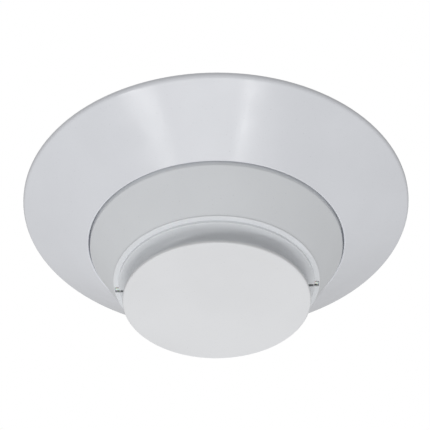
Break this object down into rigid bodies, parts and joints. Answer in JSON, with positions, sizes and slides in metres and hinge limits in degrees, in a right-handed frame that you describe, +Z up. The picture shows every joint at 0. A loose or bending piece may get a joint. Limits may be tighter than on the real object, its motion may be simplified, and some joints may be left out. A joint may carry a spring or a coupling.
{
  "type": "heat detector",
  "caption": "Round ceiling heat detector with a shallow conical trim skirt, a conical head with a stepped collar, and a flat disc cap over a ring-shaped air inlet.",
  "frame": {"origin": "middle of the mounting base's back face, which lies on the ceiling", "axes": "+Z points up into the ceiling, so the detector hangs down along -Z; +X runs through the pair of slots for the wider ceiling box and through the two indicator windows"},
  "size_m": [0.173, 0.173, 0.0528],
  "materials": {
    "base_plastic": "fine matt moulded white ABS",
    "skirt_plastic": "glossy moulded white ABS, faintly cool",
    "head_plastic": "satin-gloss moulded white ABS",
    "cap_plastic": "satin moulded white ABS",
    "cover_plastic": "matt moulded white ABS",
    "brass": "stamped, lightly tarnished",
    "plated_steel": "zinc-plated steel",
    "foam_rubber": "closed-cell foam",
    "board_laminate": "green solder mask",
    "light_pipe_plastic": "clear to milky moulded acrylic",
    "led_package": "moulded LED body",
    "chip_black": "matt black moulding compound",
    "can_aluminium": "drawn can",
    "reed_glass": "clear glass tube",
    "can_steel": "drawn steel can",
    "chip_ceramic": "fired ceramic with tinned ends",
    "bead_epoxy": "dipped epoxy bead"
  },
  "bodies": {
    "base": {"mounting_base": "base_plastic", "terminal_contacts": "brass"},
    "skirt": {"trim_skirt": "skirt_plastic"},
    "head": {"head_shell": "head_plastic", "sensor_cap": "cap_plastic", "rear_cover": "cover_plastic", "rear_cover_screws": "plated_steel", "dust_seal": "foam_rubber", "contact_blades": "brass", "circuit_board": "board_laminate", "light_pipes": "light_pipe_plastic", "status_leds": "led_package", "microcontroller": "chip_black", "interface_chip": "chip_black", "electrolytic_capacitor": "can_aluminium", "surge_suppressor": "chip_black", "reed_switch": "reed_glass", "crystal": "can_steel", "chip_resistors": "chip_black", "chip_capacitors": "chip_ceramic", "thermistor_holder": "cover_plastic", "thermistor_leads": "plated_steel", "thermistor_bead": "bead_epoxy"},
    "clamp_1": {"clamp_plate_1": "plated_steel"},
    "screw_1": {"terminal_screw_1": "plated_steel"},
    "clamp_2": {"clamp_plate_2": "plated_steel"},
    "screw_2": {"terminal_screw_2": "plated_steel"},
    "clamp_3": {"clamp_plate_3": "plated_steel"},
    "screw_3": {"terminal_screw_3": "plated_steel"},
    "clamp_4": {"clamp_plate_4": "plated_steel"},
    "screw_4": {"terminal_screw_4": "plated_steel"}
  },
  "joints": [
    {"name": "head_twist", "type": "hinge", "parent": "base", "child": "head", "pos_m": [0, 0, 0], "axis": [0, 0, -1], "range_deg": [0, 20]},
    {"name": "skirt_pull", "type": "slide", "parent": "base", "child": "skirt", "axis": [0, 0, -1], "range_m": [0, 0.06]},
    {"name": "clamp_lift_1", "type": "slide", "parent": "base", "child": "clamp_1", "axis": [0, 0, -1], "range_m": [0, 0.0014]},
    {"name": "screw_turn_1", "type": "hinge", "parent": "clamp_1", "child": "screw_1", "pos_m": [0.02758, 0.02758, -0.01], "axis": [0, 0, -1], "range_deg": [0, 720]},
    {"name": "clamp_lift_2", "type": "slide", "parent": "base", "child": "clamp_2", "axis": [0, 0, -1], "range_m": [0, 0.0014]},
    {"name": "screw_turn_2", "type": "hinge", "parent": "clamp_2", "child": "screw_2", "pos_m": [-0.02758, 0.02758, -0.01], "axis": [0, 0, -1], "range_deg": [0, 720]},
    {"name": "clamp_lift_3", "type": "slide", "parent": "base", "child": "clamp_3", "axis": [0, 0, -1], "range_m": [0, 0.0014]},
    {"name": "screw_turn_3", "type": "hinge", "parent": "clamp_3", "child": "screw_3", "pos_m": [-0.02758, -0.02758, -0.01], "axis": [0, 0, -1], "range_deg": [0, 720]},
    {"name": "clamp_lift_4", "type": "slide", "parent": "base", "child": "clamp_4", "axis": [0, 0, -1], "range_m": [0, 0.0014]},
    {"name": "screw_turn_4", "type": "hinge", "parent": "clamp_4", "child": "screw_4", "pos_m": [0.02758, -0.02758, -0.01], "axis": [0, 0, -1], "range_deg": [0, 720]}
  ],
  "couplings": [
    {"joint": "screw_turn_1", "follows": "clamp_lift_1", "rad_per_m": 8976},
    {"joint": "screw_turn_2", "follows": "clamp_lift_2", "rad_per_m": 8976},
    {"joint": "screw_turn_3", "follows": "clamp_lift_3", "rad_per_m": 8976},
    {"joint": "screw_turn_4", "follows": "clamp_lift_4", "rad_per_m": 8976}
  ]
}
